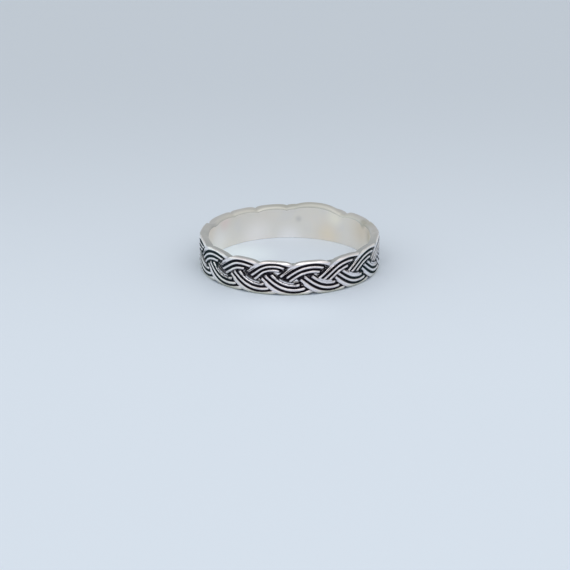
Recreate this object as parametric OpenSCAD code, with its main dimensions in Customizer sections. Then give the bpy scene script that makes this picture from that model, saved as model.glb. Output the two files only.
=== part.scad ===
// Braided band ring: one silver casting. The finger hole is plain. The outside is a flat plait of
// three strands, each with three rounded ridges, whose lobes make the scalloped edges.
// The ring lies on its lower lobes, with its axis along Z and its origin at the middle of its foot.

/* [Finger hole] */
// Diameter of the finger hole
finger_d = 17.35; // [14:0.05:22]

/* [Band] */
// Width of the band from its lower to its upper lobes
band_w = 3.7; // [3.2:0.1:4.6]
// Wall from the finger hole to the highest ridge
wall_t = 1.0; // [0.8:0.05:1.6]
// Height of the plait above the floor of its gaps
relief_h = 0.45; // [0.3:0.05:0.6]
// Radius by which the plait rolls over the upper and lower rims
rim_r = 0.45; // [0.3:0.05:0.6]
// How far the rims fall from the plait towards the finger hole
rim_fall = 0.25; // [0:0.05:0.4]

/* [Plait] */
// Lobes along each edge
lobes = 16; // [12:1:17]
// Width of one strand
strand_w = 1.53; // [1.2:0.01:1.7]
// How far a strand dives where another one crosses it
dive_h = 0.3; // [0.2:0.02:0.4]
// How squarely a strand turns at a lobe, 0 for a plain sine
turn_share = 0.045; // [0:0.005:0.08]
// Turn of the whole plait about the axis
plait_turn = 3; // [0:0.5:22.5]
// How uneven the crossings are, 0 for even steps
unevenness = 1; // [0:0.1:1]

/* [Ridges] */
// Depth of the grooves between the ridges
groove_d = 0.2; // [0.1:0.01:0.25]
// Width of the mouth of a groove
groove_w = 0.2; // [0.1:0.01:0.25]
// How much lower the sides of a strand are than its middle
strand_crown = 0.02; // [0:0.01:0.1]

/* [Long lobe] */
// How far the long lobe at the back stands above the others
long_lobe_rise = 0.35; // [0.1:0.05:0.5]
// Its rounded outer corner
long_lobe_round = 0.12; // [0.05:0.01:0.2]

/* [Hidden] */

finger_r = finger_d / 2;
crest_r = finger_r + wall_t;
floor_r = crest_r - relief_h;
band_mid = band_w / 2;
cut_past = 1;
hole_facets = 180;

// The plait is laid out on a flat strip, which then rolls over the rims by this angle
rim_roll = 70;
flat_half = band_mid - (rim_r - strand_crown) * sin(rim_roll);
strip_half = flat_half + rim_r * rim_roll * PI / 180;
rim_edge_r = crest_r - rim_r * (1 - cos(rim_roll));

// One wave of a strand takes three lobes of a row
lobe_angle = 360 / lobes;
lobe_arc = 2 * PI * crest_r / lobes;
wave_arc = 3 * lobe_arc;
swing = strip_half - strand_w / 2;

// Phases of a strand's wave in degrees: it comes out from under a strand of the other row, lies
// on top over its own crossing and along its lobe, and goes under the next strand of its row
phase_start = -30;
phase_up = 10;
phase_crossing = 30;
phase_down = 90;
phase_end = 150;
sections = 10;

// Where the casting's crossings lie off their even places, in lobes, from the front round by
// the right. Columns: upper row, lower row
crossing_offsets = [
    [0.00, 0.10],
    [0.20, 0.09],
    [0.08, 0.13],
    [0.06, 0.10],
    [0.00, 0.04],
    [-0.02, 0.00],
    [0.11, 0.02],
    [0.00, 0.00],
    [-0.09, -0.06],
    [-0.10, -0.10],
    [-0.29, -0.14],
    [-0.14, -0.12],
    [-0.09, -0.08],
    [-0.06, -0.02],
    [-0.04, 0.02],
    [-0.07, 0.00],
];
UPPER = 0;
LOWER = 1;

// The ridges of a strand are equally wide. The shoulders beside a groove stand this share of
// its depth above its floor
ridges = 3;
shoulder_rise = 0.8;
mouth_share = groove_w / 2 / strand_w;

// The solid wall under the plait ends inside the notches between the lobes
core_share = 0.66;
core_facets = 4 * lobes;
// The strands run inwards past the wall of the finger hole, which is cut last
root_depth = 0.3;
root_r = finger_r - root_depth;
root_fall = rim_fall * (rim_edge_r - root_r) / (rim_edge_r - finger_r);

// The long lobe covers the two lobes between these crossings
long_lobe_from = 6;
long_lobe_to = 8;
long_lobe_sections = 14;
// How full its outline is: 2 is a parabola
long_lobe_power = 2.5;
// Height of the notches at its ends over the middle of the band, as a share of that of the lobes
notch_share = 0.78;
notch_z = band_mid * notch_share;

// Height of a strand's middle line over the middle of the strip, at one phase
function wave_y(phase) =
    swing * (sin(phase) + turn_share * sin(3 * phase)) / (1 - turn_share);

// Steepness of the same line, as rise over run
function wave_slope(phase) =
    swing * (cos(phase) + 3 * turn_share * cos(3 * phase)) / (1 - turn_share)
    * 2 * PI / wave_arc;

// Smooth step from 0 to 1 between two phases
function ease(phase, from, to) =
    (1 - cos(180 * max(0, min(1, (phase - from) / (to - from))))) / 2;

// 1 where the strand lies on top, 0 where it lies under another one
function lift(phase) =
    min(ease(phase, phase_start, phase_up), 1 - ease(phase, phase_down, phase_end));

// Outline of a strand across its width, from its inner edge, which ends in a groove, to its
// outer edge, which is whole. Rows of
// [across: share of the width, rise: share of a groove's depth above its floor]
strand_outline = [
    for (i = [0 : ridges - 1])
        let (low = i / ridges - 0.5, high = (i + 1) / ridges - 0.5)
            each [
                [low, 0],
                [low + mouth_share, shoulder_rise],
                [(low + high) / 2, 1],
                if (i < ridges - 1)
                    [high - mouth_share, shoulder_rise],
            ],
    [0.5, 1],
];

// Angle by which the strip has rolled over a rim at a height on the strip
function roll_angle(y) = max(0, abs(y) - flat_half) / rim_r * 180 / PI;

// Height over the middle of the band of a point of the strip, sunk below its surface
function rolled_z(y, sunk = 0) =
    sign(y) * (min(abs(y), flat_half) + (rim_r - sunk) * sin(roll_angle(y)));

// Radius of the same point
function rolled_r(y, sunk = 0) =
    crest_r - rim_r + (rim_r - sunk) * cos(roll_angle(y));

// Point of the ring at an arc along the crest, a height over the middle and a radius
function on_ring(arc, z, r) =
    let (angle = arc / crest_r * 180 / PI)
        [r * sin(angle), -r * cos(angle), z];

// One closed section across a strand: its outline and two points at its root
function strand_section(phase) =
    let (
        arc = (phase - phase_crossing) / 360 * wave_arc,
        lean = atan(wave_slope(phase)),
        dive = dive_h * (1 - lift(phase)),
        outer = [
            for (row = strand_outline)
                let (
                    across = row[0] * strand_w,
                    y = wave_y(phase) + across * cos(lean),
                    sunk = groove_d * (1 - row[1]) + strand_crown * pow(2 * row[0], 2)
                )
                    on_ring(arc - across * sin(lean), rolled_z(y, sunk), rolled_r(y, sunk) - dive)
        ],
        roots = [
            for (side = [strand_w / 2, -strand_w / 2])
                let (y = wave_y(phase) + side * cos(lean))
                    on_ring(arc - side * sin(lean), rolled_z(y) - sign(y) * root_fall, root_r)
        ]
    )
        concat(outer, roots);

// Closed body through sections of equally many points
module skin(rings) {
    count = len(rings[0]);
    last = (len(rings) - 1) * count;
    sides = [
        for (i = [0 : len(rings) - 2], j = [0 : count - 1])
            let (
                a = i * count + j,
                b = i * count + (j + 1) % count,
                c = a + count,
                d = b + count
            )
                each [[a, b, d], [a, d, c]]
    ];
    start_cap = [for (j = [count - 1 : -1 : 0]) j];
    end_cap = [for (j = [0 : count - 1]) last + j];
    polyhedron([for (ring = rings) each ring], concat(sides, [start_cap, end_cap]));
}

// One pass of a strand over the plait, from where it comes out to where it goes under
module strand_pass() {
    skin([
        for (i = [0 : sections - 1])
            strand_section(phase_start + (phase_end - phase_start) * i / (sections - 1))
    ]);
}

// Angle of a crossing of one row from the row's first even place
function crossing_angle(i, row) =
    let (offset = crossing_offsets[i % len(crossing_offsets)][row])
        (i + unevenness * offset) * lobe_angle;

// All the passes of one row
module row_of_passes(row) {
    for (i = [0 : lobes - 1])
        rotate([0, 0, crossing_angle(i, row)])
            strand_pass();
}

// Height of the long lobe's edge over the middle of the band, from 0 to 1 along it
function long_lobe_z(along) =
    notch_z
    + (band_mid + long_lobe_rise - notch_z) * (1 - pow(abs(2 * along - 1), long_lobe_power));

// The lobe at the back, as long as two others, that fills the notch between them
module long_lobe() {
    from = crossing_angle(long_lobe_from, UPPER);
    to = crossing_angle(long_lobe_to, UPPER);
    skin([
        for (i = [0 : long_lobe_sections])
            let (
                along = i / long_lobe_sections,
                arc = (from + (to - from) * along) * PI / 180 * crest_r,
                z = long_lobe_z(along)
            )
                [
                    on_ring(arc, 0, rim_edge_r),
                    on_ring(arc, z - long_lobe_round, rim_edge_r),
                    on_ring(arc, z, rim_edge_r - long_lobe_round),
                    on_ring(arc, z - root_fall, root_r),
                    on_ring(arc, 0, root_r),
                ]
    ]);
}

// The plait and the solid wall behind it, about the middle of the band
module plait() {
    cylinder(h = core_share * band_w, r = floor_r, center = true, $fn = core_facets);
    rotate([0, 0, plait_turn]) {
        row_of_passes(UPPER);
        long_lobe();
        rotate([0, 0, lobe_angle / 2])
            mirror([0, 0, 1])
                row_of_passes(LOWER);
    }
}

module band() {
    color("silver")
        translate([0, 0, band_mid])
            difference() {
                resize([0, 0, band_w + long_lobe_rise])
                    plait();
                cylinder(h = 2 * (band_w + cut_past), r = finger_r, center = true, $fn = hole_facets);
            }
}

band();
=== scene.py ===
"""Dresses the braided band ring, one silver casting that lies on its lower lobes.

The plait, the wall and the finger hole are modelled as one fused piece in millimetres about the
middle of the band, and brought to metres with the foot on the floor at the end. A strand is laid
out by its phase, which runs along its wave, and its share, which runs across its width.
"""
import logging
import math
import random
from dataclasses import dataclass, replace
from enum import Enum, IntEnum
from typing import Sequence

import bmesh
import bpy
from mathutils import Matrix, Vector


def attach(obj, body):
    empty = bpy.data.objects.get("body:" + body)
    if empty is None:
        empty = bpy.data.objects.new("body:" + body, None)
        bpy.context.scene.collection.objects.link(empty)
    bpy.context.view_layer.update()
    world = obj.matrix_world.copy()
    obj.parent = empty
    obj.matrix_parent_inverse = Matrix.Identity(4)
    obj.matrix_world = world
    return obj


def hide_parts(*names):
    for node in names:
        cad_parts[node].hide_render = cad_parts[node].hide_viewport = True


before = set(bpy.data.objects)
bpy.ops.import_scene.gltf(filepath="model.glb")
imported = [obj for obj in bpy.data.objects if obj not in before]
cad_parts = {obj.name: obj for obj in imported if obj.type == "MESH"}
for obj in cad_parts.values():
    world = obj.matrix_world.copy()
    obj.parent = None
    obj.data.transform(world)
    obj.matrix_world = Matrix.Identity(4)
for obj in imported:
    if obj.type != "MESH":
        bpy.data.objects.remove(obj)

LOG = logging.getLogger("braided_band")
MM = 0.001
SOOT = "soot"
EDGE = "edge"
PITS = "pits"
STRAND_UV = "strand"

Colour = tuple[float, float, float]
Point = tuple[float, float, float]

# Soot, nearness to the rim's edge and pits of a point
Marks = tuple[float, float, float]

# One value for each ridge, inner ridge first
PerRidge = tuple[float, float, float]

# The two ends between which something changes
Span = tuple[float, float]

# The two ends of a span and the values that they become
Ramp = tuple[float, float, float, float]

Socket = bpy.types.NodeSocket
Source = bpy.types.NodeSocket | Colour | float


class Row(Enum):
    """The two rows in which the strands pass over the plait, with the side their lobes are on."""

    UPPER = 1
    LOWER = -1


class Skin(IntEnum):
    """Material indices of the fused piece."""

    PLAIT = 0
    RIM = 1
    HOLE = 2


def ease(value: float, start: float, end: float) -> float:
    """Gives a smooth step.

    Args:
        value: where the step is read.
        start: the value at which the step leaves 0.
        end: the value at which it reaches 1.

    Returns:
        A number from 0 to 1.
    """
    t = min(1.0, max(0.0, (value - start) / (end - start)))
    return t * t * (3.0 - 2.0 * t)


def mix(a: float, b: float, t: float) -> float:
    """Blends from a to b by the share t."""
    return a + (b - a) * t


@dataclass(frozen=True)
class Stretch:
    """A stretch of phases in degrees, over which something comes up and dies away again."""

    start: float
    full: float
    fading: float
    end: float

    def share(self, phase: float) -> float:
        """Gives how much of it there is at a phase, from 0 to 1."""
        return ease(phase, self.start, self.full) * (1 - ease(phase, self.fading, self.end))


@dataclass(frozen=True)
class BandSizes:
    """Sizes of the ring in millimetres, the same as in the part's source where it has them.

    Only the looks have the rounded inner edge of the rims, the plain wall round the hole and
    clean_rim. That edge is edge_w wide, edge_h deep above and foot_edge_h below, with rings of
    points at rim_shares of its width. The wall is liner_w thick and ends at liner_top and
    liner_foot from the middle of the band. clean_rim gives the shares of half the band's width
    between which the soot of the notches ends.
    """

    finger_d: float = 17.35
    band_w: float = 3.7
    wall_t: float = 1.0
    relief_h: float = 0.45
    rim_r: float = 0.45
    rim_roll: float = math.radians(70.0)
    edge_w: float = 0.5
    edge_h: float = 0.4
    foot_edge_h: float = 0.02
    lobes: int = 16
    strand_w: float = 1.53
    dive_h: float = 0.3
    turn_share: float = 0.045
    plait_turn: float = math.radians(3.0)
    groove_d: float = 0.2
    strand_crown: float = 0.02
    ridges: int = 3
    core_share: float = 0.66
    root_depth: float = 0.3
    liner_w: float = 0.3
    liner_top: float = 1.58
    liner_foot: float = 1.845
    rim_shares: tuple[float, ...] = (1.0, 0.74, 0.5, 0.3, 0.16, 0.07, 0.02, -0.004)
    clean_rim: Span = (0.5, 0.68)

    @property
    def finger_r(self) -> float:
        """Radius of the finger hole."""
        return self.finger_d / 2

    @property
    def crest_r(self) -> float:
        """Radius of the highest ridges."""
        return self.finger_r + self.wall_t

    @property
    def floor_r(self) -> float:
        """Radius of the floor of the plait's gaps."""
        return self.crest_r - self.relief_h

    @property
    def root_r(self) -> float:
        """Radius to which the strands run in, past the wall of the hole."""
        return self.finger_r - self.root_depth

    @property
    def liner_r(self) -> float:
        """Outer radius of the plain wall round the finger hole."""
        return self.finger_r + self.liner_w

    @property
    def mid(self) -> float:
        """Half the width of the band."""
        return self.band_w / 2

    @property
    def flat_half(self) -> float:
        """Height over the middle at which the strip starts to roll over the rim."""
        return self.mid - (self.rim_r - self.strand_crown) * math.sin(self.rim_roll)

    @property
    def rim_edge_r(self) -> float:
        """Radius of the outer edge of the rims."""
        return self.crest_r - self.rim_r * (1 - math.cos(self.rim_roll))

    @property
    def swing(self) -> float:
        """How far a strand's middle line swings from the middle of the strip."""
        return self.flat_half + self.rim_r * self.rim_roll - self.strand_w / 2

    @property
    def lobe_angle(self) -> float:
        """Angle from one lobe to the next."""
        return 2 * math.pi / self.lobes

    @property
    def wave_arc(self) -> float:
        """Length of one wave of a strand along the crest."""
        return 3 * self.lobe_angle * self.crest_r

    @property
    def rim_stops(self) -> list[float]:
        """Radii of the rim's rings of points, from the start of the rounded edge inwards."""
        return [self.finger_r + share * self.edge_w for share in self.rim_shares]

    def rim_drop(self, radius: float, side: float = 1.0) -> float:
        """Gives the share by which a height shrinks on the way in to the finger hole.

        Args:
            radius: distance from the axis.
            side: height of which the sign is that of the rim's side.

        Returns:
            The share, which is 1 on the flat rim and falls along the rounded edge of the hole.
        """
        start, end = self.rim_stops[0], self.rim_stops[-1]
        t = min(1.0, max(0.0, (start - radius) / (start - end)))
        depth = self.edge_h if side > 0 else self.foot_edge_h
        return 1 - depth * (1 - math.sqrt(1 - t * t)) / self.mid


@dataclass(frozen=True)
class PassTips:
    """Where the ridges of a pass begin and go under, as phases in degrees, inner ridge first.

    nose is how long the rounded beginning of a ridge is, in degrees too. narrow is the share of
    its width by which the pass is drawn in along its lobe, sag how many millimetres it lies below
    the even line before its lobe, and pitted how rough it is. late_shares are the shares of a
    longer step by which the three ridges go under later.
    """

    begin: PerRidge
    under: PerRidge
    nose: float = 6.0
    narrow: float = 0.0
    sag: float = 0.0
    pitted: float = 0.25
    late_shares: PerRidge = (0.9, 0.6, 0.5)

    def moved(self, change: Sequence[float], after: float) -> "PassTips":
        """Gives the tips of one pass of the casting.

        Args:
            change: degrees by which the three beginnings come later.
            after: degrees by which the step to the next pass is longer than an even one.

        Returns:
            The pass's own tips.
        """
        begin = tuple(a + b for a, b in zip(self.begin, change))
        under = tuple(a + after * share for a, share in zip(self.under, self.late_shares))
        return replace(self, begin=begin, under=under)


@dataclass(frozen=True)
class Hairline:
    """A fine line that splits one ridge: its place across that ridge, its stretch and depth."""

    ridge: int
    side: float
    depth: float
    stretch: Stretch
    half_width: float = 0.1

    def cut(self, phase: float, ridge: int, side: float) -> float:
        """Gives how deep the line is cut.

        Args:
            phase: phase of the wave in degrees.
            ridge: number of the ridge.
            side: place across the ridge, from -1 to 1.

        Returns:
            The depth as a share of a groove's.
        """
        if ridge != self.ridge or abs(side - self.side) > self.half_width:
            return 0.0
        return self.depth * self.stretch.share(phase)


@dataclass(frozen=True)
class RowShape:
    """What the passes of one row have in common.

    ridge_share is the share of the strand that the rounded ridges take up, the rest being groove.
    rim_join gives the phases between which the outer side of the outer ridge comes up to the rim,
    and apron how much wider the inner ridge is along its lobe, as a share of the strand.
    """

    tips: PassTips
    ridge_share: float
    rim_join: Span
    hairline: Hairline
    apron: float = 0.0


ROW_SHAPES: dict[Row, RowShape] = {
    Row.UPPER: RowShape(
        tips=PassTips(begin=(3.0, -3.0, -9.0), under=(94.0, 111.0, 130.0)),
        ridge_share=0.70,
        rim_join=(6.0, 25.0),
        hairline=Hairline(2, 0.0, 0.34, Stretch(-4.0, 8.0, 28.0, 40.0)),
    ),
    Row.LOWER: RowShape(
        tips=PassTips(begin=(-2.0, -12.0, -17.0), under=(98.0, 113.0, 128.0)),
        ridge_share=0.77,
        rim_join=(-8.0, 10.0),
        hairline=Hairline(0, -0.26, 0.3, Stretch(12.0, 24.0, 92.0, 104.0)),
        apron=0.025,
    ),
}

# Tips of the passes in front, by their row and number
FRONT_TIPS: dict[tuple[Row, int], PassTips] = {
    (Row.UPPER, 13): PassTips(begin=(3.0, -3.0, -9.0), under=(98.0, 121.0, 134.0)),
    (Row.UPPER, 14): PassTips(begin=(8.5, 4.0, -2.0), under=(93.0, 117.0, 134.0), sag=0.2),
    (Row.UPPER, 15): PassTips(
        begin=(7.0, 5.0, 0.0), under=(102.0, 115.5, 132.0), narrow=0.14, sag=0.15
    ),
    (Row.UPPER, 0): PassTips(begin=(-1.0, -2.0, -13.0), under=(114.5, 123.0, 138.0)),
    (Row.UPPER, 1): PassTips(begin=(-8.0, -17.0, -27.0), under=(75.0, 97.0, 124.0)),
    (Row.UPPER, 2): PassTips(begin=(2.5, -8.5, -18.0), under=(94.0, 111.0, 130.0)),
    (Row.LOWER, 13): PassTips(begin=(-2.0, -12.0, -17.0), under=(102.0, 116.0, 130.0), pitted=1.0),
    (Row.LOWER, 14): PassTips(begin=(-2.0, -12.0, -17.0), under=(98.0, 114.0, 128.0), pitted=0.4),
    (Row.LOWER, 15): PassTips(begin=(-3.5, -13.5, -18.0), under=(103.0, 119.0, 130.0), pitted=0.4),
    (Row.LOWER, 0): PassTips(begin=(2.0, -12.5, -18.5), under=(97.0, 112.0, 126.0), pitted=0.15),
    (Row.LOWER, 1): PassTips(begin=(-2.5, -10.0, -13.5), under=(99.0, 114.0, 128.0), pitted=0.0),
}

# Where the casting's crossings lie off their even places, in lobes. Columns: upper row, lower row
CROSSING_OFFSETS: tuple[tuple[float, float], ...] = (
    (0.00, 0.10),
    (0.20, 0.09),
    (0.08, 0.13),
    (0.06, 0.10),
    (0.00, 0.04),
    (-0.02, 0.00),
    (0.11, 0.02),
    (0.00, 0.00),
    (-0.09, -0.06),
    (-0.10, -0.10),
    (-0.29, -0.14),
    (-0.14, -0.12),
    (-0.09, -0.08),
    (-0.06, -0.02),
    (-0.04, 0.02),
    (-0.07, 0.00),
)


@dataclass(frozen=True)
class Relief:
    """How the ridges of every pass begin, dive and blacken.

    Drops are in millimetres, and lengths and places along a pass in degrees of phase. The soot
    values say how black a place is, where 1 is the bottom of a groove. rim_rolls are angles of the
    roll over the rim, in radians, between which the rim's edge mark begins, which darkens the
    rolled edge with painted shade and roughens it. lined_from_pits says how fast the fine line of
    the lower row deepens with the pass's pits.
    """

    roundness: float = 2.1
    gap_drop: float = 0.32
    tip_drop: float = 0.035
    tip_drop_end: float = 32.0
    tip_curve: float = 0.45
    dive_length: float = 18.0
    apron_rise: float = 0.9
    apron_ridge: Stretch = Stretch(15.0, 30.0, 85.0, 100.0)
    apron_width: Stretch = Stretch(0.0, 25.0, 75.0, 110.0)
    drawing_in: Stretch = Stretch(15.0, 50.0, 100.0, 135.0)
    sagging: Stretch = Stretch(0.0, 16.0, 28.0, 75.0)
    gap_soot: float = 2.0
    far_gap_share: float = 0.3
    gap_lead: Span = (16.0, 3.0)
    tip_soot: float = 0.42
    tip_soot_length: float = 12.0
    end_soot: float = 1.6
    end_soot_delay: float = 4.0
    outer_end_soot_delay: float = 16.0
    end_soot_length: float = 14.0
    outer_soot_sides: Span = (-0.3, 0.6)
    pits_end: Span = (15.0, 40.0)
    lower_pits_end: Span = (95.0, 115.0)
    lined_from_pits: float = 2.5
    rim_rolls: Span = (0.75, 1.1)


@dataclass
class StrandPass:
    """One pass of a strand over the plait, from its three tips to where it goes under.

    Sections are set close together round the tips, from before_tips to past_tips beyond them.
    """

    sizes: BandSizes
    row: Row
    angle: float
    tips: PassTips
    after: float = 0.0
    form: Relief = Relief()
    across_steps: int = 12
    section_counts: tuple[int, int, int] = (3, 18, 36)
    phase_start: float = -30.0
    phase_end: float = 150.0
    lead: float = 10.0
    before_tips: float = 3.0
    past_tips: float = 4.0
    crossing: float = 30.0

    @property
    def shape(self) -> RowShape:
        """What the pass has in common with its row."""
        return ROW_SHAPES[self.row]

    def phases(self) -> list[float]:
        """Lists the phases of the sections, close together where the ridges begin.

        Returns:
            Rising phases in degrees.
        """
        start = min(self.phase_start, min(self.tips.begin) - self.lead)
        first = min(self.tips.begin) - self.before_tips
        last = max(self.tips.begin) + self.tips.nose + self.past_tips
        end = self.phase_end + max(0.0, self.after)
        found = [start]
        for low, high, count in zip((start, first, last), (first, last, end), self.section_counts):
            found += [mix(low, high, (i + 1) / count) for i in range(count)]
        return found

    def wave(self, phase: float) -> tuple[float, float]:
        """Gives the middle line of the strand.

        Args:
            phase: phase of the wave in degrees.

        Returns:
            The height on the strip and the lean of the line against the strip.
        """
        s = self.sizes
        p = math.radians(phase)
        scale = s.swing / (1 - s.turn_share)
        height = scale * (math.sin(p) + s.turn_share * math.sin(3 * p))
        rate = scale * (math.cos(p) + 3 * s.turn_share * math.cos(3 * p))
        return height, math.atan(rate * 2 * math.pi / s.wave_arc)

    def rise(self, phase: float, ridge: int, side: float) -> float:
        """Gives how far the surface rises from the grooves beside a ridge.

        Args:
            phase: phase of the wave in degrees.
            ridge: number of the ridge, 0 on the inner side.
            side: place across the ridge, from -1 inside to 1 outside.

        Returns:
            The rise, 0 in a groove and 1 on the ridge's crest.
        """
        form, shape = self.form, self.shape
        rise = max(0.0, 1 - abs(side / shape.ridge_share) ** form.roundness) ** 0.5
        if ridge == self.sizes.ridges - 1 and side > 0:
            rise = mix(rise, 1.0, ease(phase, *shape.rim_join))
        if ridge == 0 and side < 0 and shape.apron > 0:
            rise = max(rise, form.apron_rise * form.apron_ridge.share(phase))
        line = shape.hairline.cut(phase, ridge, side)
        if self.row is Row.LOWER:
            line *= min(1.0, form.lined_from_pits * self.tips.pitted)
        return rise - line

    def end_soot(self, phase: float, ridge: int, side: float) -> float:
        """Gives how black a ridge is where it goes under the next pass.

        Args:
            phase: phase of the wave in degrees.
            ridge: number of the ridge, 0 on the inner side.
            side: place across the ridge, from -1 inside to 1 outside.

        Returns:
            The soot, which the outer ridge takes later and not on its side at the rim.
        """
        form = self.form
        outer = ridge == self.sizes.ridges - 1
        delay = form.outer_end_soot_delay if outer else form.end_soot_delay
        start = self.tips.under[ridge] + delay
        soot = form.end_soot * ease(phase, start, start + form.end_soot_length)
        return soot * (1 - ease(side, *form.outer_soot_sides)) if outer else soot

    def pits(self, phase: float, ridge: int, begin: float) -> float:
        """Gives how pitted a ridge is: near the upper row's tips, or on the lower row's inner one.

        Args:
            phase: phase of the wave in degrees.
            ridge: number of the ridge, 0 on the inner side.
            begin: phase at which the ridge begins.

        Returns:
            A number from 0 to 1.
        """
        if self.row is Row.UPPER:
            start, end = self.form.pits_end
            return self.tips.pitted * (1 - ease(phase, begin + start, begin + end))
        if ridge > 0:
            return 0.0
        return self.tips.pitted * (1 - ease(phase, *self.form.lower_pits_end))

    def relief(self, phase: float, share: float) -> tuple[float, float, float, float]:
        """Gives how the surface lies under the smooth strip at one place of the strand.

        Args:
            phase: phase of the wave in degrees.
            share: place across the strand, from -0.5 inside to 0.5 outside.

        Returns:
            How deep the ridges' relief lies, how far the strand dives, how black the place is
            and how pitted.
        """
        s, form = self.sizes, self.form
        place = (share + 0.5) * s.ridges
        ridge = min(s.ridges - 1, max(0, int(place)))
        side = 2 * (place - ridge) - 1
        rise = self.rise(phase, ridge, side)
        begin = self.tips.begin[ridge] + form.tip_curve * self.tips.nose * side * side
        t = min(1.0, max(0.0, (phase - begin) / self.tips.nose))
        nose = math.sqrt(1 - (1 - t) ** 2)
        under = self.tips.under[ridge]
        tip_drop = form.tip_drop * (1 - ease(phase, begin, form.tip_drop_end))
        dive = mix(form.gap_drop, tip_drop, nose)
        dive += s.dive_h * ease(phase, under, under + form.dive_length)
        far, near = form.gap_lead
        gap = mix(form.far_gap_share, 1.0, ease(phase, begin - far, begin - near))
        tip_soot = form.tip_soot * (1 - ease(phase, begin, begin + form.tip_soot_length))
        end_soot = self.end_soot(phase, ridge, side)
        soot = max(1 - rise, form.gap_soot * (1 - nose) * gap, tip_soot, end_soot)
        sunk = s.groove_d * (1 - rise) * nose + s.strand_crown * (2 * share) ** 2
        return sunk, dive, soot, self.pits(phase, ridge, begin)

    def place(self, phase: float, share: float) -> tuple[Point, Marks]:
        """Puts one place of the strand on the ring.

        Args:
            phase: phase of the wave in degrees.
            share: place across the strand, from -0.5 inside to 0.5 outside.

        Returns:
            The point about the middle of the band and its marks.
        """
        s, form = self.sizes, self.form
        height, lean = self.wave(phase)
        sunk, dive, soot, pits = self.relief(phase, share)
        drawn_in = self.tips.narrow * form.drawing_in.share(phase)
        inner = max(0.0, -0.5 - s.ridges * share)
        apron = self.shape.apron * form.apron_width.share(phase)
        across = (0.5 - (0.5 - share) * (1 - drawn_in) - apron * inner) * s.strand_w
        height -= self.tips.sag * form.sagging.share(phase)
        y = height + across * math.cos(lean)
        arc = (phase - self.crossing) / 360 * s.wave_arc - across * math.sin(lean)
        roll = max(0.0, abs(y) - s.flat_half) / s.rim_r
        z = min(abs(y), s.flat_half) + (s.rim_r - sunk) * math.sin(roll)
        r = s.crest_r - s.rim_r + (s.rim_r - sunk) * math.cos(roll) - dive
        turn = self.angle + arc / s.crest_r
        z = math.copysign(z, y) * self.row.value
        point = (r * math.sin(turn), -r * math.cos(turn), z)
        return point, (soot, ease(roll, *form.rim_rolls), pits)

    def build(self) -> bpy.types.Object:
        """Makes the closed body of the pass.

        Returns:
            An object in millimetres about the middle of the band.
        """
        s = self.sizes
        phases = self.phases()
        columns = s.ridges * self.across_steps
        bm = start_body()
        uv = bm.loops.layers.uv[STRAND_UV]
        bmesh.ops.create_grid(
            bm, x_segments=len(phases) - 1, y_segments=columns, size=1.0, calc_uvs=True
        )
        for face in bm.faces:
            face.material_index = Skin.PLAIT
            for loop in face.loops:
                u, v = loop.vert.co.x, loop.vert.co.y
                loop[uv].uv = ((u + 1) / 2 * s.wave_arc / 2, (v + 1) / 2 * s.strand_w)
        for vert in bm.verts:
            column = round((vert.co.y + 1) / 2 * columns)
            ridge, step = divmod(column, self.across_steps)
            across = (ridge + (1 - math.cos(math.pi * step / self.across_steps)) / 2) / s.ridges
            phase = phases[round((vert.co.x + 1) / 2 * (len(phases) - 1))]
            vert.co, marks = self.place(phase, across - 0.5)
            mark(bm, vert, *marks)
        close_inwards(bm, s)
        return to_object(bm, f"pass_{self.row.name.lower()}")


def start_body() -> bmesh.types.BMesh:
    """Starts a shape with the layers that the finishes read.

    Returns:
        An empty bmesh.
    """
    bm = bmesh.new()
    for name in (SOOT, EDGE, PITS):
        bm.verts.layers.float.new(name)
    bm.loops.layers.uv.new(STRAND_UV)
    return bm


def mark(
    bm: bmesh.types.BMesh,
    vert: bmesh.types.BMVert,
    soot: float,
    edge: float = 1.0,
    pits: float = 0.0,
) -> None:
    """Sets how black, how near the rim's edge and how pitted a point is."""
    for name, value in ((SOOT, soot), (EDGE, edge), (PITS, pits)):
        vert[bm.verts.layers.float[name]] = value


def make_rim(bm: bmesh.types.BMesh) -> None:
    """Makes all of a shape clean metal of the rims, with its faces outwards.

    Args:
        bm: the closed shape.
    """
    for vert in bm.verts:
        mark(bm, vert, 0.0)
    for face in bm.faces:
        face.material_index = Skin.RIM
    bmesh.ops.recalc_face_normals(bm, faces=bm.faces)


def close_inwards(bm: bmesh.types.BMesh, sizes: BandSizes) -> None:
    """Runs the open edge of an outer surface in past the finger hole and closes it there.

    Args:
        bm: the surface, about the middle of the band.
        sizes: sizes of the ring.
    """
    edges = [edge for edge in bm.edges if edge.is_boundary]
    low, high = (share * sizes.mid for share in sizes.clean_rim)
    for radius in [*sizes.rim_stops, sizes.root_r]:
        made = bmesh.ops.extrude_edge_only(bm, edges=edges)["geom"]
        edges = [g for g in made if isinstance(g, bmesh.types.BMEdge) and g.is_boundary]
        for face in (g for g in made if isinstance(g, bmesh.types.BMFace)):
            face.material_index = Skin.RIM
        for vert in {v for edge in edges for v in edge.verts}:
            x, y, z = vert.co
            flat = math.hypot(x, y)
            shrink = sizes.rim_drop(radius, z) / sizes.rim_drop(flat, z)
            vert.co = (x * radius / flat, y * radius / flat, z * shrink)
            mark(bm, vert, 1 - ease(abs(vert.co.z), low, high))
    cap = bmesh.ops.contextual_create(bm, geom=edges)["faces"]
    bmesh.ops.triangulate(bm, faces=cap)
    bmesh.ops.recalc_face_normals(bm, faces=bm.faces)


def to_object(bm: bmesh.types.BMesh, name: str) -> bpy.types.Object:
    """Makes an object of a bmesh and frees it.

    Args:
        bm: the shape.
        name: name of the object and its mesh.

    Returns:
        The object, linked to the scene.
    """
    mesh = bpy.data.meshes.new(name)
    bm.to_mesh(mesh)
    bm.free()
    obj = bpy.data.objects.new(name, mesh)
    bpy.context.collection.objects.link(obj)
    return obj


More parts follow.
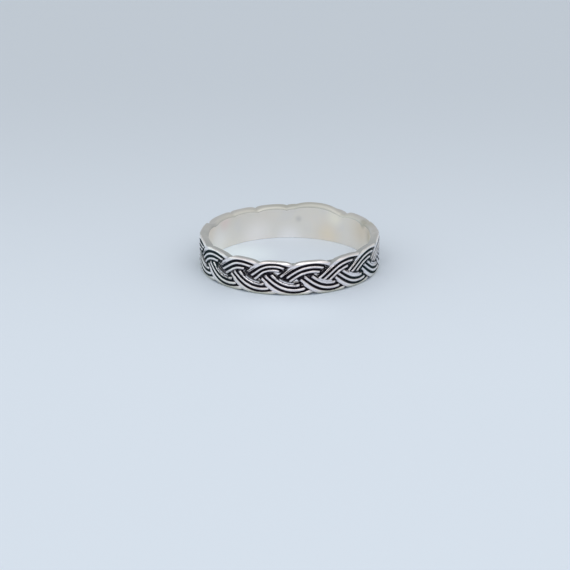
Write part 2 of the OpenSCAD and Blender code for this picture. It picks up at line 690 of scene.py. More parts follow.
def join_by(
    base: bpy.types.Object, tools: Sequence[bpy.types.Object], operation: str
) -> None:
    """Fuses or cuts an object with others, and removes those.

    Args:
        base: the object that is changed.
        tools: closed bodies.
        operation: UNION or DIFFERENCE.
    """
    group = bpy.data.collections.new("tools")
    for tool in tools:
        group.objects.link(tool)
    step = base.modifiers.new("join", "BOOLEAN")
    step.operation = operation
    step.solver = "MANIFOLD"
    step.operand_type = "COLLECTION"
    step.collection = group
    bpy.context.view_layer.update()
    graph = bpy.context.evaluated_depsgraph_get()
    shaped = base.evaluated_get(graph)
    mesh = bpy.data.meshes.new_from_object(shaped, preserve_all_data_layers=True, depsgraph=graph)
    base.modifiers.remove(step)
    old = base.data
    base.data = mesh
    bpy.data.meshes.remove(old)
    for tool in tools:
        used = tool.data
        bpy.data.objects.remove(tool)
        bpy.data.meshes.remove(used)
    bpy.data.collections.remove(group)


@dataclass
class LongLobe:
    """The raised lobe at the back, as long as two others."""

    sizes: BandSizes
    start: float
    end: float
    rise: float = 0.35
    corner: float = 0.14
    corner_steps: int = 6
    power: float = 2.5
    sections: int = 60
    notch_share: float = 0.78

    @property
    def peak(self) -> float:
        """Greatest height of the lobe over the middle of the band."""
        return self.sizes.mid + self.rise

    def top(self, along: float) -> float:
        """Gives the height of the lobe's edge over the middle of the band.

        Args:
            along: place along the lobe, from 0 to 1.

        Returns:
            The height in millimetres.
        """
        low = self.sizes.mid * self.notch_share
        return mix(low, self.peak, 1 - abs(2 * along - 1) ** self.power)

    def section(self) -> list[Span]:
        """Lists the corners of the lobe's section.

        Returns:
            Radii and heights, from the foot of the outside over the rounded edge to the root.
        """
        s = self.sizes
        corner = []
        for step in range(self.corner_steps + 1):
            turn = math.radians(90 * step / self.corner_steps)
            radius = s.rim_edge_r - self.corner * (1 - math.cos(turn))
            corner.append((radius, self.peak - self.corner * (1 - math.sin(turn))))
        inner = [(stop, self.peak * s.rim_drop(stop)) for stop in [*s.rim_stops, s.root_r]]
        return [(s.rim_edge_r, 0.0), *corner, *inner, (s.root_r, 0.0)]

    def build(self) -> bpy.types.Object:
        """Spins the lobe's section along the band and raises it to the lobe's outline.

        Returns:
            An object in millimetres about the middle of the band.
        """
        bm = start_body()
        sine, cosine = math.sin(self.start), math.cos(self.start)
        verts = [bm.verts.new((r * sine, -r * cosine, z)) for r, z in self.section()]
        face = bm.faces.new(verts)
        bmesh.ops.spin(
            bm,
            geom=[face, *face.verts, *face.edges],
            axis=(0, 0, 1),
            cent=(0, 0, 0),
            angle=self.end - self.start,
            steps=self.sections,
        )
        for vert in bm.verts:
            turn = math.atan2(vert.co.x, -vert.co.y) % (2 * math.pi)
            along = min(1.0, max(0.0, (turn - self.start) / (self.end - self.start)))
            if vert.co.z > 0:
                vert.co.z *= self.top(along) / self.peak
        bmesh.ops.triangulate(bm, faces=[f for f in bm.faces if len(f.verts) > 4])
        make_rim(bm)
        return to_object(bm, "long_lobe")


def cylinder(
    bm: bmesh.types.BMesh, radius: float, height: float, segments: int, soot: float, edge: float
) -> None:
    """Makes a capped cylinder about the middle of the band.

    Args:
        bm: the empty body.
        radius: radius of the cylinder.
        height: its height.
        segments: number of its sides.
        soot: how black its points are.
        edge: how near the rim's edge they count.
    """
    bmesh.ops.create_cone(
        bm, cap_ends=True, segments=segments, radius1=radius, radius2=radius, depth=height
    )
    for vert in bm.verts:
        mark(bm, vert, soot, edge=edge)


@dataclass
class Band:
    """The whole casting.

    tip_change is how many degrees chance moves the beginnings of the ridges that aren't in front,
    and lobe_phase how many degrees of phase a lobe takes up.
    """

    sizes: BandSizes
    long_lobe_from: int = 6
    long_lobe_to: int = 8
    seed: int = 7
    tip_change: float = 1.5
    lobe_phase: float = 120.0
    core_segments: int = 192
    hole_segments: int = 256
    crease: float = math.radians(38.0)

    def offset(self, index: int, row: Row) -> float:
        """Gives how far a crossing lies off its even place, in lobes."""
        return CROSSING_OFFSETS[index % len(CROSSING_OFFSETS)][0 if row is Row.UPPER else 1]

    def crossing(self, index: int, row: Row) -> float:
        """Gives the angle of a crossing.

        Args:
            index: number of the crossing, from the front round by the right.
            row: the crossing's row.

        Returns:
            The angle in radians.
        """
        s = self.sizes
        half_step = 0.0 if row is Row.UPPER else 0.5
        return s.plait_turn + (index + half_step + self.offset(index, row)) * s.lobe_angle

    def step(self, index: int, row: Row) -> float:
        """Gives the degrees of phase by which the step from a crossing to the next is too long."""
        return (self.offset(index + 1, row) - self.offset(index, row)) * self.lobe_phase

    def passes(self) -> list[bpy.types.Object]:
        """Makes the passes of both rows.

        Returns:
            Their bodies.
        """
        chance = random.Random(self.seed)
        made = []
        for row in Row:
            for index in range(self.sizes.lobes):
                after = self.step(index, row)
                change = [
                    chance.uniform(-self.tip_change, self.tip_change)
                    for _ in range(self.sizes.ridges)
                ]
                tips = FRONT_TIPS.get((row, index), ROW_SHAPES[row].tips.moved(change, after))
                strand = StrandPass(self.sizes, row, self.crossing(index, row), tips, after)
                made.append(strand.build())
        return made

    def core(self) -> bpy.types.Object:
        """Makes the solid wall behind the plait.

        Returns:
            Its body, which the others are fused with.
        """
        s = self.sizes
        bm = start_body()
        cylinder(bm, s.floor_r, s.core_share * s.band_w, self.core_segments, 1.0, 0.0)
        for face in bm.faces:
            face.material_index = Skin.RIM if abs(face.normal.z) > 0.5 else Skin.PLAIT
        return to_object(bm, "braided_band")

    def bore(self) -> bpy.types.Object:
        """Makes the body that cuts the finger hole.

        Returns:
            A cylinder that is longer than the band is wide.
        """
        s = self.sizes
        bm = start_body()
        cylinder(bm, s.finger_r, 3 * s.band_w, self.hole_segments, 0.0, 1.0)
        for face in bm.faces:
            face.material_index = Skin.HOLE
        return to_object(bm, "bore")

    def liner(self) -> bpy.types.Object:
        """Makes the plain wall round the finger hole, which shows in the notches of the edges.

        Returns:
            Its body.
        """
        s = self.sizes
        stops = [s.liner_r, *(stop for stop in s.rim_stops if stop < s.liner_r), s.root_r]
        top = [(r, s.liner_top * s.rim_drop(r)) for r in stops]
        foot = [(r, -s.liner_foot * s.rim_drop(r, -1.0)) for r in reversed(stops)]
        bm = start_body()
        verts = [bm.verts.new((0.0, -r, z)) for r, z in [*top, *foot]]
        outline = [bm.edges.new(pair) for pair in zip(verts, [*verts[1:], verts[0]])]
        bmesh.ops.spin(
            bm,
            geom=[*verts, *outline],
            axis=(0, 0, 1),
            cent=(0, 0, 0),
            angle=2 * math.pi,
            steps=self.hole_segments,
            use_merge=True,
        )
        make_rim(bm)
        return to_object(bm, "liner")

    def build(self) -> bpy.types.Object:
        """Fuses the plait and cuts the finger hole.

        Returns:
            The finished piece, in metres, with its foot on the floor.
        """
        lobe = LongLobe(
            self.sizes,
            self.crossing(self.long_lobe_from, Row.UPPER),
            self.crossing(self.long_lobe_to, Row.UPPER),
        )
        bodies = self.passes()
        band = self.core()
        bodies += [lobe.build(), self.liner()]
        bore = self.bore()
        for body in (band, *bodies, bore):
            slots(body, len(Skin))
        join_by(band, bodies, "UNION")
        join_by(band, [bore], "DIFFERENCE")
        band.data.transform(Matrix.Translation((0, 0, self.sizes.mid)))
        band.data.transform(Matrix.Scale(MM, 4))
        smooth_by_angle(band.data, self.crease)
        return band


def slots(obj: bpy.types.Object, count: int) -> None:
    """Gives an object empty material slots, so that its faces keep their material indices.

    Args:
        obj: the object.
        count: number of slots.
    """
    for index in range(len(obj.data.materials), count):
        name = f"skin_{index}"
        obj.data.materials.append(bpy.data.materials.get(name) or bpy.data.materials.new(name))


def smooth_by_angle(mesh: bpy.types.Mesh, angle: float) -> None:
    """Shades a mesh smooth, with hard edges at its creases and round the finger hole.

    Args:
        mesh: the mesh.
        angle: angle between two faces past which their edge is hard.
    """
    mesh.polygons.foreach_set("use_smooth", [True] * len(mesh.polygons))
    mesh.set_sharp_from_angle(angle=angle)
    bm = bmesh.new()
    bm.from_mesh(mesh)
    for edge in bm.edges:
        skins = {face.material_index for face in edge.link_faces}
        if Skin.HOLE in skins and len(skins) > 1:
            edge.smooth = False
    bm.to_mesh(mesh)
    bm.free()
    mesh.update()


@dataclass(frozen=True)
class NodeSheet:
    """A node tree of a material or world, with short ways to add to it."""

    material: bpy.types.ID

    @property
    def tree(self) -> bpy.types.NodeTree:
        """The node tree."""
        return self.material.node_tree

    def feed(self, socket: Socket, value: Source) -> None:
        """Links a socket to an input, or sets the input to a constant.

        Args:
            socket: the input.
            value: what it gets.
        """
        if isinstance(value, bpy.types.NodeSocket):
            self.tree.links.new(value, socket)
        else:
            socket.default_value = value

    def shade(self, name: str, value: Source) -> None:
        """Feeds an input of the main surface shader."""
        self.feed(self.tree.nodes["Principled BSDF"].inputs[name], value)

    def add(self, kind: str, **values: object) -> bpy.types.Node:
        """Adds a node.

        Args:
            kind: type name of the node.
            values: properties of the node, or its inputs by number as in_0.

        Returns:
            The node.
        """
        node = self.tree.nodes.new(kind)
        for key, value in values.items():
            if key.startswith("in_"):
                self.feed(node.inputs[int(key[3:])], value)
            else:
                setattr(node, key, value)
        return node

    def math(self, operation: str, a: Source, b: Source = 0.0, c: Source = 0.0) -> Socket:
        """Adds a Math node and gives its result."""
        return self.add("ShaderNodeMath", operation=operation, in_0=a, in_1=b, in_2=c).outputs[0]

    def place(self) -> Socket:
        """Gives the place on the object, in metres."""
        return self.add("ShaderNodeTexCoord").outputs["Object"]

    def split(self, vector: Socket) -> Sequence[Socket]:
        """Gives the three parts of a vector."""
        return self.add("ShaderNodeSeparateXYZ", in_0=vector).outputs

    def attribute(self, name: str) -> Socket:
        """Reads one of the piece's own marks."""
        return self.add("ShaderNodeAttribute", attribute_name=name).outputs["Fac"]

    def along_strand(self, scale: Point) -> Socket:
        """Gives the place along and across a strand, stretched by a scale."""
        unrolled = self.add("ShaderNodeUVMap", uv_map=STRAND_UV).outputs[0]
        return self.add("ShaderNodeMapping", in_0=unrolled, in_3=scale).outputs[0]

    def noise(self, vector: Socket, scale: float, detail: float = 3.0) -> Socket:
        """Adds a Noise node.

        Args:
            vector: what it reads.
            scale: how fine it is.
            detail: how many finer layers it has.

        Returns:
            Its value, mostly from 0.3 to 0.7.
        """
        node = self.add("ShaderNodeTexNoise", in_0=vector)
        node.inputs["Scale"].default_value = scale
        node.inputs["Detail"].default_value = detail
        return node.outputs["Fac"]

    def span(
        self, value: Socket, low: float, high: float, to_low: float = 0.0, to_high: float = 1.0
    ) -> Socket:
        """Maps a value smoothly from one span to another.

        Args:
            value: what is mapped.
            low: the value that becomes to_low, as all below it.
            high: the value that becomes to_high, as all above it.
            to_low: lower end of the new span.
            to_high: upper end of the new span.

        Returns:
            The mapped value.
        """
        node = self.add("ShaderNodeMapRange", interpolation_type="SMOOTHSTEP", in_0=value)
        for index, number in enumerate((low, high, to_low, to_high), start=1):
            node.inputs[index].default_value = number
        return node.outputs[0]

    def varied(self, noise: Socket, middle: float, amount: float) -> Socket:
        """Gives a value that a noise varies by an amount round its middle."""
        return self.math("MULTIPLY_ADD", noise, amount, middle - amount / 2)

    def blend(self, share: Source, a: Source, b: Source) -> Socket:
        """Mixes two colours by a share.

        Args:
            share: number or socket from 0 to 1.
            a: colour or socket at 0.
            b: colour or socket at 1.

        Returns:
            The colour.
        """
        node = self.add("ShaderNodeMix", data_type="RGBA", in_0=share)
        for socket, value in ((node.inputs[6], a), (node.inputs[7], b)):
            self.feed(socket, (*value, 1.0) if isinstance(value, tuple) else value)
        return node.outputs[2]

    def bump(self, height: Socket, strength: float, distance: float) -> None:
        """Bumps the main surface shader.

        Args:
            height: the height that is bumped.
            strength: share of the bump.
            distance: its greatest height in metres.
        """
        node = self.add("ShaderNodeBump")
        node.inputs["Strength"].default_value = strength
        node.inputs["Distance"].default_value = distance
        self.feed(node.inputs["Height"], height)
        self.shade("Normal", node.outputs[0])


@dataclass(frozen=True)
class Spot:
    """A soft spot of another tone, with its place and radius in millimetres."""

    place: Point
    radius: float
    tone: Colour
    share: float = 1.0

    def over(self, sheet: NodeSheet, place: Socket, colour: Socket) -> Socket:
        """Lays the spot over a colour.

        Args:
            sheet: the finish's sheet.
            place: the place on the object.
            colour: the colour under the spot.

        Returns:
            The colour with the spot.
        """
        centre = tuple(value * MM for value in self.place)
        away = sheet.add("ShaderNodeVectorMath", operation="DISTANCE", in_0=place, in_1=centre)
        near = sheet.span(away.outputs["Value"], 0.0, self.radius * MM, self.share, 0.0)
        return sheet.blend(near, colour, self.tone)


def new_sheet(name: str) -> NodeSheet:
    """Starts a node material.

    Args:
        name: name of the material.

    Returns:
        Its sheet.
    """
    material = bpy.data.materials.new(name)
    material.use_nodes = True
    return NodeSheet(material)


@dataclass(frozen=True)
class PlaitMarks:
    """What the finish of the plait reads: the place, the piece's own marks and noise."""

    place: Socket
    off_middle: Socket
    black: Socket
    edge: Socket
    pits: Socket
    patches: Socket
    grain: Socket
    lines: Socket
    dashes: Socket


@dataclass(frozen=True)
class PlaitFinish:
    """Polished ridges with near-black patina in the grooves and gaps.

    Spans over x and z are in metres, the others over the piece's marks and noise.
    """

    silver: Colour = (0.95, 0.895, 0.91)
    # Painted reflection: towards the ring's two ends the silver turns paler and more neutral.
    side_reflection_silver: Colour = (0.95, 0.95, 0.94)
    side_reflection_span: Span = (0.004, 0.0085)
    # Painted light: the white spot is a painted highlight at the upper right front, and the olive
    # one a painted shadow low at the left front.
    spots: tuple[Spot, ...] = (
        Spot((7.1, -6.5, 3.0), 1.3, (1.0, 1.0, 1.0)),
        Spot((-6.5, -7.1, 0.5), 3.2, (0.80, 0.79, 0.69), 0.8),
    )
    wear: Colour = (0.70, 0.655, 0.70)
    patch_wear: Ramp = (0.4, 0.7, 0.0, 0.25)
    line_wear: Ramp = (0.44, 0.6, 0.0, 0.6)
    # Grey on the ridges' flanks next to the grooves: partly patina, partly painted shade that
    # makes the ridges look round.
    patina: Colour = (0.58, 0.555, 0.59)
    flank_patina_shade_span: Span = (0.02, 0.2)
    glint: Colour = (0.96, 0.95, 0.95)
    glint_span: Ramp = (0.36, 0.46, 1.0, 0.0)
    # Painted shade: darker silver where the strip rolls over the rim.
    edge: Colour = (0.54, 0.54, 0.55)
    # Painted shadow: the silver turns darker and olive along the lowest edge, next to the floor.
    foot: Colour = (0.68, 0.66, 0.55)
    foot_shade_span: Ramp = (0.00012, 0.0005, 1.0, 0.0)

    soot: Colour = (0.006, 0.005, 0.008)
    pale_soot: Colour = (0.03, 0.026, 0.04)
    pale_span: Span = (0.4, 0.75)
    # Painted reflection: towards the ring's two ends the patina turns teal.
    side_reflection_soot: Colour = (0.014, 0.032, 0.038)
    side_reflection_soot_span: Span = (0.0045, 0.0085)
    faded: tuple[Spot, ...] = (
        Spot((9.4, -0.8, 2.6), 2.6, (0.34, 0.35, 0.39)),
        Spot((9.1, -3.1, 2.5), 1.5, (0.42, 0.44, 0.48)),
    )
    speck: Colour = (0.20, 0.185, 0.23)
    speck_patches: Span = (0.45, 0.66)
    speck_black: Span = (1.02, 1.5)

    soot_span: Span = (0.16, 0.27)
    streaks: Span = (2.4, -0.2)
    left_soot: Ramp = (-0.0097, -0.0088, 0.08, 0.0)
    pit_span: Ramp = (0.51, 0.59, 0.0, 1.0)
    pit_black: float = 0.85

    patch_scale: float = 5200.0
    grain_scale: float = 26000.0
    line_stretch: Point = (1.4, 9.0, 1.0)
    dash_stretch: Point = (5.0, 13.0, 1.0)
    polish: float = 0.2
    polish_change: float = 0.12
    soot_rough: float = 0.3
    edge_rough: float = 0.25
    specular: float = 0.04
    line_bump: float = 0.5
    grain_bump: float = 0.35
    bump_strength: float = 0.12
    bump_distance: float = 0.00002

    def marks(self, sheet: NodeSheet) -> PlaitMarks:
        """Adds what the finish reads.

        Args:
            sheet: the finish's sheet.

        Returns:
            The sockets.
        """
        place = sheet.place()
        return PlaitMarks(
            place=place,
            off_middle=sheet.math("ABSOLUTE", sheet.split(place)[0]),
            black=sheet.attribute(SOOT),
            edge=sheet.attribute(EDGE),
            pits=sheet.attribute(PITS),
            patches=sheet.noise(place, self.patch_scale),
            grain=sheet.noise(place, self.grain_scale, 2.0),
            lines=sheet.noise(sheet.along_strand(self.line_stretch), 1.0),
            dashes=sheet.noise(sheet.along_strand(self.dash_stretch), 1.0, 1.0),
        )

    def mask(self, sheet: NodeSheet, marks: PlaitMarks) -> Socket:
        """Says where the patina is.

        Args:
            sheet: the finish's sheet.
            marks: what the finish reads.

        Returns:
            1 in the grooves, gaps and pits and 0 on the bright metal.
        """
        streaks = sheet.math("MULTIPLY_ADD", marks.lines, *self.streaks)
        black = sheet.math("MULTIPLY", marks.black, streaks)
        black = sheet.math("ADD", black, sheet.span(sheet.split(marks.place)[0], *self.left_soot))
        pitted = sheet.math("MULTIPLY", marks.pits, sheet.span(marks.dashes, *self.pit_span))
        pitted = sheet.math("MULTIPLY", pitted, self.pit_black)
        return sheet.math("MAXIMUM", sheet.span(black, *self.soot_span), pitted)

    def bright(self, sheet: NodeSheet, marks: PlaitMarks) -> Socket:
        """Gives the colour of the bright metal.

        Args:
            sheet: the finish's sheet.
            marks: what the finish reads.

        Returns:
            The colour, with its wear, glints, painted reflection tints towards the ends, a painted
            highlight and a painted shadow, patina and painted shade on the ridges' flanks, and
            painted shade on the rolled rim edges and along the foot.
        """
        # Painted reflection tint of the silver towards the ends.
        side = sheet.span(marks.off_middle, *self.side_reflection_span)
        colour = sheet.blend(side, self.silver, self.side_reflection_silver)
        # Lays the painted highlight and the painted shadow over the silver.
        for spot in self.spots:
            colour = spot.over(sheet, marks.place, colour)
        wear_and_edge_light = sheet.math(
            "MAXIMUM",
            sheet.span(marks.patches, *self.patch_wear),
            sheet.span(marks.lines, *self.line_wear),
        )
        glints = sheet.math("MULTIPLY", marks.pits, sheet.span(marks.dashes, *self.glint_span))
        colour = sheet.blend(wear_and_edge_light, colour, self.wear)
        # Greys the ridges' flanks with patina and painted shade.
        colour = sheet.blend(sheet.span(marks.black, *self.flank_patina_shade_span), colour, self.patina)
        colour = sheet.blend(glints, colour, self.glint)
        # Painted shade on the rolled rim edge.
        colour = sheet.blend(marks.edge, colour, self.edge)
        # Painted shadow along the foot.
        foot = sheet.span(sheet.split(marks.place)[2], *self.foot_shade_span)
        return sheet.blend(foot, colour, self.foot)

    def dark(self, sheet: NodeSheet, marks: PlaitMarks) -> Socket:
        """Gives the colour of the patina.

        Args:
            sheet: the finish's sheet.
            marks: what the finish reads.

        Returns:
            The colour, with its grain, a teal painted reflection towards the ends, faded places
            and specks.
        """
        colour = sheet.blend(sheet.span(marks.grain, *self.pale_span), self.soot, self.pale_soot)
        # Painted reflection: teal in the patina towards the ends.
        side = sheet.span(marks.off_middle, *self.side_reflection_soot_span)
        colour = sheet.blend(side, colour, self.side_reflection_soot)
        for spot in self.faded:
            colour = spot.over(sheet, marks.place, colour)
        specks = sheet.math(
            "MULTIPLY",
            sheet.span(marks.patches, *self.speck_patches),
            sheet.span(marks.black, *self.speck_black),
        )
        return sheet.blend(specks, colour, self.speck)

    def material(self) -> bpy.types.Material:
        """Makes the material.

        Returns:
            The material, which reads the piece's marks and its strand UV map.
        """
        sheet = new_sheet("plait_silver")
        marks = self.marks(sheet)
        mask = self.mask(sheet, marks)
        colour = sheet.blend(mask, self.bright(sheet, marks), self.dark(sheet, marks))
        sheet.shade("Base Color", colour)
        rough = sheet.varied(marks.lines, self.polish, self.polish_change)
        rough = sheet.math("MULTIPLY_ADD", mask, self.soot_rough, rough)
        rough = sheet.math("MULTIPLY_ADD", marks.edge, self.edge_rough, rough)
        sheet.shade("Roughness", rough)
        sheet.shade("Metallic", sheet.span(mask, 0.0, 1.0, 1.0, 0.0))
        sheet.shade("Specular IOR Level", self.specular)
        grain = sheet.math("MULTIPLY", marks.grain, self.grain_bump)
        height = sheet.math("MULTIPLY_ADD", marks.lines, self.line_bump, grain)
        sheet.bump(height, self.bump_strength, self.bump_distance)
        return sheet.material


@dataclass(frozen=True)
class RimFinish:
    """Satin silver of the rims.

    Spans over y and over the distance from the axis are in metres. Painted shade darkens the rims
    towards the front, and painted light pales the hole's rounded edge on the far side.
    """

    silver: Colour = (0.60, 0.60, 0.61)
    tarnish: Colour = (0.56, 0.56, 0.555)
    tarnish_span: Span = (0.4, 0.7)
    # Painted shade: the rims are darker and cooler towards the front.
    front: Colour = (0.48, 0.50, 0.51)
    front_shade_span: Ramp = (-0.004, 0.0, 1.0, 0.0)
    # Painted light: the rounded edge of the hole is paler, most on the far side.
    painted_light_hole_edge: Colour = (0.67, 0.66, 0.625)
    near_hole: Ramp = (0.0087, 0.0093, 1.0, 0.0)
    far_side: Ramp = (0.002, 0.0065, 0.1, 1.0)
    soot: Colour = (0.006, 0.005, 0.008)
    soot_span: Span = (0.3, 0.6)
    patch_scale: float = 900.0
    grain_scale: float = 14000.0
    polish: float = 0.56
    polish_change: float = 0.12
    spots: tuple[Spot, ...] = (
        Spot((0.5, 8.8, 4.0), 7.0, (0.54, 0.54, 0.51)),
        Spot((7.95, 3.7, 3.8), 0.9, (0.34, 0.34, 0.29)),
        Spot((-9.1, 0.0, 3.8), 1.8, (0.51, 0.525, 0.525)),
        Spot((8.6, 3.0, 2.6), 2.2, (0.53, 0.52, 0.46)),
        Spot((-8.6, 3.2, 3.7), 1.6, (0.53, 0.54, 0.545)),
    )

    def wear_and_edge_light(self, sheet: NodeSheet, place: Socket) -> Socket:
        """Says where the rounded edge of the hole is painted paler, as painted light.

        Args:
            sheet: the finish's sheet.
            place: the place on the object.

        Returns:
            1 at the hole's edge on the far side, and less elsewhere.
        """
        flat = sheet.add(
            "ShaderNodeVectorMath", operation="MULTIPLY", in_0=place, in_1=(1.0, 1.0, 0.0)
        )
        radius = sheet.add("ShaderNodeVectorMath", operation="LENGTH", in_0=flat.outputs[0])
        near_hole = sheet.span(radius.outputs["Value"], *self.near_hole)
        far_side = sheet.span(sheet.split(place)[1], *self.far_side)
        return sheet.math("MULTIPLY", near_hole, far_side)

    def material(self) -> bpy.types.Material:
        """Makes the material.

        Returns:
            The material, which reads the piece's soot mark.
        """
        sheet = new_sheet("rim_silver")
        place = sheet.place()
        patches = sheet.noise(place, self.patch_scale)
        grain = sheet.noise(place, self.grain_scale, 2.0)
        colour = sheet.blend(
            sheet.span(patches, *self.tarnish_span), self.silver, self.tarnish
        )
        # Painted shade towards the front.
        front = sheet.span(sheet.split(place)[1], *self.front_shade_span)
        colour = sheet.blend(front, colour, self.front)
        # Painted light on the hole's rounded edge.
        colour = sheet.blend(self.wear_and_edge_light(sheet, place), colour, self.painted_light_hole_edge)
        for spot in self.spots:
            colour = spot.over(sheet, place, colour)
        black = sheet.span(sheet.attribute(SOOT), *self.soot_span)
        sheet.shade("Base Color", sheet.blend(black, colour, self.soot))
        sheet.shade("Roughness", sheet.varied(grain, self.polish, self.polish_change))
        sheet.shade("Metallic", 1.0)
        return sheet.material


@dataclass(frozen=True)
class HoleFinish:
    """Satin silver of the finger hole, with soft clouds of tint."""

    silver: Colour = (0.885, 0.845, 0.785)
    warm: Colour = (0.90, 0.847, 0.782)
    warm_span: Span = (0.4, 0.65)
    dull: Colour = (0.865, 0.83, 0.79)
    dull_span: Span = (0.5, 0.7)
    cloud_scale: float = 260.0
    tint_scale: float = 420.0
    grain_scale: float = 9000.0
    polish: float = 0.42
    polish_change: float = 0.1
    bump_strength: float = 0.25
    bump_distance: float = 0.00006
    spots: tuple[Spot, ...] = (
        Spot((4.2, 7.6, 0.8), 2.4, (0.93, 0.83, 0.69)),
        Spot((7.7, 4.0, 2.2), 2.8, (0.83, 0.76, 0.655)),
        Spot((5.0, 7.1, 2.8), 1.5, (1.0, 0.95, 0.84)),
        # Painted light: these two spots make the foot of the far wall paler.
        Spot((-3.6, 7.9, 0.6), 2.6, (1.0, 0.955, 0.915)),
        Spot((0.0, 8.7, 0.0), 2.2, (0.99, 0.96, 0.94)),
        Spot((-7.6, 4.2, 1.4), 2.6, (0.95, 0.92, 0.885)),
        Spot((-7.0, 5.1, 3.0), 1.4, (0.91, 0.81, 0.77)),
        Spot((1.01, 8.62, 2.2), 0.55, (0.74, 0.71, 0.67)),
        Spot((8.5, 1.6, 2.5), 1.8, (0.68, 0.64, 0.55)),
        Spot((7.9, 3.6, 3.5), 0.9, (0.46, 0.46, 0.39)),
    )

    def material(self) -> bpy.types.Material:
        """Makes the material.

        Returns:
            The material.
        """
        sheet = new_sheet("hole_silver")
        place = sheet.place()
        clouds = sheet.noise(place, self.cloud_scale, 2.0)
        tint = sheet.noise(place, self.tint_scale, 1.0)
        grain = sheet.noise(place, self.grain_scale, 2.0)
        colour = sheet.blend(sheet.span(clouds, *self.warm_span), self.silver, self.warm)
        colour = sheet.blend(sheet.span(tint, *self.dull_span), colour, self.dull)
        for spot in self.spots:
            colour = spot.over(sheet, place, colour)
        sheet.shade("Base Color", colour)
        sheet.shade("Roughness", sheet.varied(grain, self.polish, self.polish_change))
        sheet.shade("Metallic", 1.0)
        sheet.bump(clouds, self.bump_strength, self.bump_distance)
        return sheet.material


@dataclass(frozen=True)
class FloorFinish:
    """Plain pale surface that dims a little towards the back."""

    # Painted shade darkens the floor a little towards the back.
    colour: Colour = (0.705, 0.78, 0.89)
    back_shade_share: float = 0.81
    back_shade_span: Span = (-0.035, 0.075)
    rough: float = 0.6
    specular: float = 0.25
    # Painted light: soft pools on the floor, inside the ring at the left and in front of it.
    spots: tuple[Spot, ...] = (
        Spot((-5.6, 3.0, 0.0), 5.6, (0.82, 0.92, 1.0)),
        Spot((-0.5, -12.5, 0.0), 9.0, (0.76, 0.84, 0.955)),
    )

    def material(self) -> bpy.types.Material:
        """Makes the material.

        Returns:
            The material.
        """
        sheet = new_sheet("pale_floor")
        place = sheet.place()
        # Painted shade towards the back.
        back = tuple(value * self.back_shade_share for value in self.colour)
        far = sheet.span(sheet.split(place)[1], *self.back_shade_span)
        colour = sheet.blend(far, self.colour, back)
        # Lays the painted pools of light.
        for spot in self.spots:
            colour = spot.over(sheet, place, colour)
        sheet.shade("Base Color", colour)
        sheet.shade("Roughness", self.rough)
        sheet.shade("Specular IOR Level", self.specular)
        return sheet.material


@dataclass(frozen=True)
class SoftBox:
    """One soft area light, aimed at the ring. Lengths in metres."""

    name: str
    place: Point
    width: float
    height: float
    power: float
    colour: Colour = (1.0, 1.0, 1.0)

    def build(self) -> None:
        """Hangs the light."""
        light = bpy.data.lights.new(self.name, "AREA")
        light.shape = "RECTANGLE"
        light.size, light.size_y = self.width, self.height
        light.energy = self.power
        light.color = self.colour
        obj = bpy.data.objects.new(self.name, light)
        obj.location = self.place
        obj.rotation_euler = (-Vector(self.place)).to_track_quat("-Z", "Y").to_euler()
        bpy.context.collection.objects.link(obj)


@dataclass(frozen=True)
class Camera:
    """The photograph's view, fitted to the outline and the grooves.

    distance and target are in millimetres, sensor too, and the clip distances in metres.
    """

    elevation: float = math.radians(20.4626)
    distance: float = 300.0
    focal_pixels: float = 2843.23
    frame_pixels: int = 570
    sensor: float = 36.0
    target: Point = (-0.4841, -6.3297, 0.0)
    clip: Span = (0.01, 20.0)

    def build(self) -> None:
        """Sets the camera up."""
        camera = bpy.data.cameras.new("camera")
        camera.sensor_width = self.sensor
        camera.lens = self.focal_pixels * self.sensor / self.frame_pixels
        camera.clip_start, camera.clip_end = self.clip
        back = Vector((0.0, -math.cos(self.elevation), math.sin(self.elevation)))
        obj = bpy.data.objects.new("camera", camera)
        obj.location = (Vector(self.target) + back * self.distance) * MM
        obj.rotation_euler = (math.pi / 2 - self.elevation, 0.0, 0.0)
        bpy.context.collection.objects.link(obj)
        bpy.context.scene.camera = obj


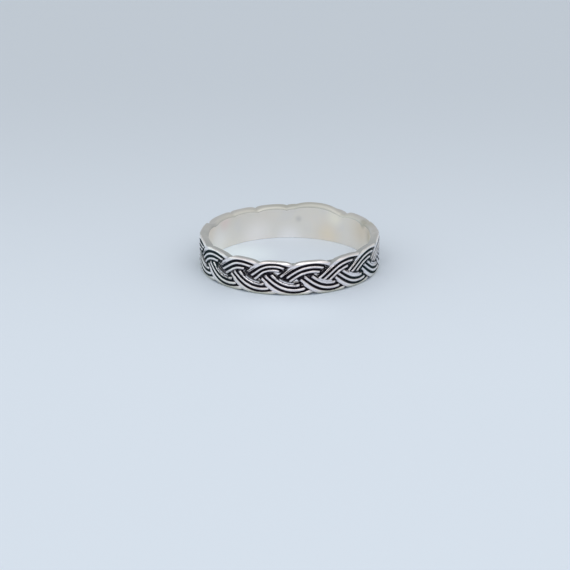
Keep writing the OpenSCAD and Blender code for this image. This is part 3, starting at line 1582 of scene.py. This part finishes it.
@dataclass(frozen=True)
class Room:
    """The soft light from all round, dimmer at the horizon and behind the ring.

    The spans are over the three parts of the direction that is looked in.
    """

    front: Colour = (0.82, 0.82, 0.80)
    back: Colour = (0.555, 0.56, 0.55)
    left: Colour = (0.72, 0.79, 0.79)
    strength: float = 1.25
    leftwards: Ramp = (-0.9, -0.5, 1.0, 0.0)
    low: Ramp = (0.3, 0.7, 1.0, 0.0)
    frontwards: Ramp = (-0.6, 0.2, 1.0, 0.0)
    high: Ramp = (0.1, 0.5, 0.0, 1.0)

    def build(self) -> bpy.types.World:
        """Makes the world.

        Returns:
            The world.
        """
        world = bpy.data.worlds.new("soft_room")
        world.use_nodes = True
        sheet = NodeSheet(world)
        x, y, z = sheet.split(sheet.add("ShaderNodeTexCoord").outputs["Generated"])
        low_left = sheet.math("MULTIPLY", sheet.span(x, *self.leftwards), sheet.span(z, *self.low))
        front_top = sheet.math(
            "MULTIPLY", sheet.span(y, *self.frontwards), sheet.span(z, *self.high)
        )
        sides = sheet.blend(low_left, self.back, self.left)
        sky = sheet.tree.nodes["Background"]
        sheet.feed(sky.inputs["Color"], sheet.blend(front_top, sides, self.front))
        sky.inputs["Strength"].default_value = self.strength
        return world


@dataclass
class Studio:
    """Pale floor, soft light and camera. Lengths in metres."""

    floor: FloorFinish = FloorFinish()
    room: Room = Room()
    camera: Camera = Camera()
    boxes: tuple[SoftBox, ...] = (SoftBox("front_box", (0.05, -0.30, 0.42), 0.5, 0.4, 0.5),)
    floor_half: float = 1.5
    floor_steps: int = 4

    def build(self) -> None:
        """Sets the studio up."""
        bm = bmesh.new()
        bmesh.ops.create_grid(
            bm, x_segments=self.floor_steps, y_segments=self.floor_steps, size=self.floor_half
        )
        ground = to_object(bm, "floor")
        ground.data.materials.append(self.floor.material())
        for box in self.boxes:
            box.build()
        bpy.context.scene.world = self.room.build()
        bpy.context.scene.view_settings.view_transform = "Standard"
        self.camera.build()


def main() -> None:
    """Builds the ring and its studio."""
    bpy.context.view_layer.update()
    band = Band(BandSizes()).build()
    for index, finish in enumerate((PlaitFinish(), RimFinish(), HoleFinish())):
        band.data.materials[index] = finish.material()
    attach(band, "root")
    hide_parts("band")
    LOG.info("band: %d triangles", sum(len(p.vertices) - 2 for p in band.data.polygons))
    Studio().build()
    LOG.info("studio is set up")


if __name__ == "__main__":
    logging.basicConfig(level=logging.INFO, format="%(name)s %(message)s")
    main()
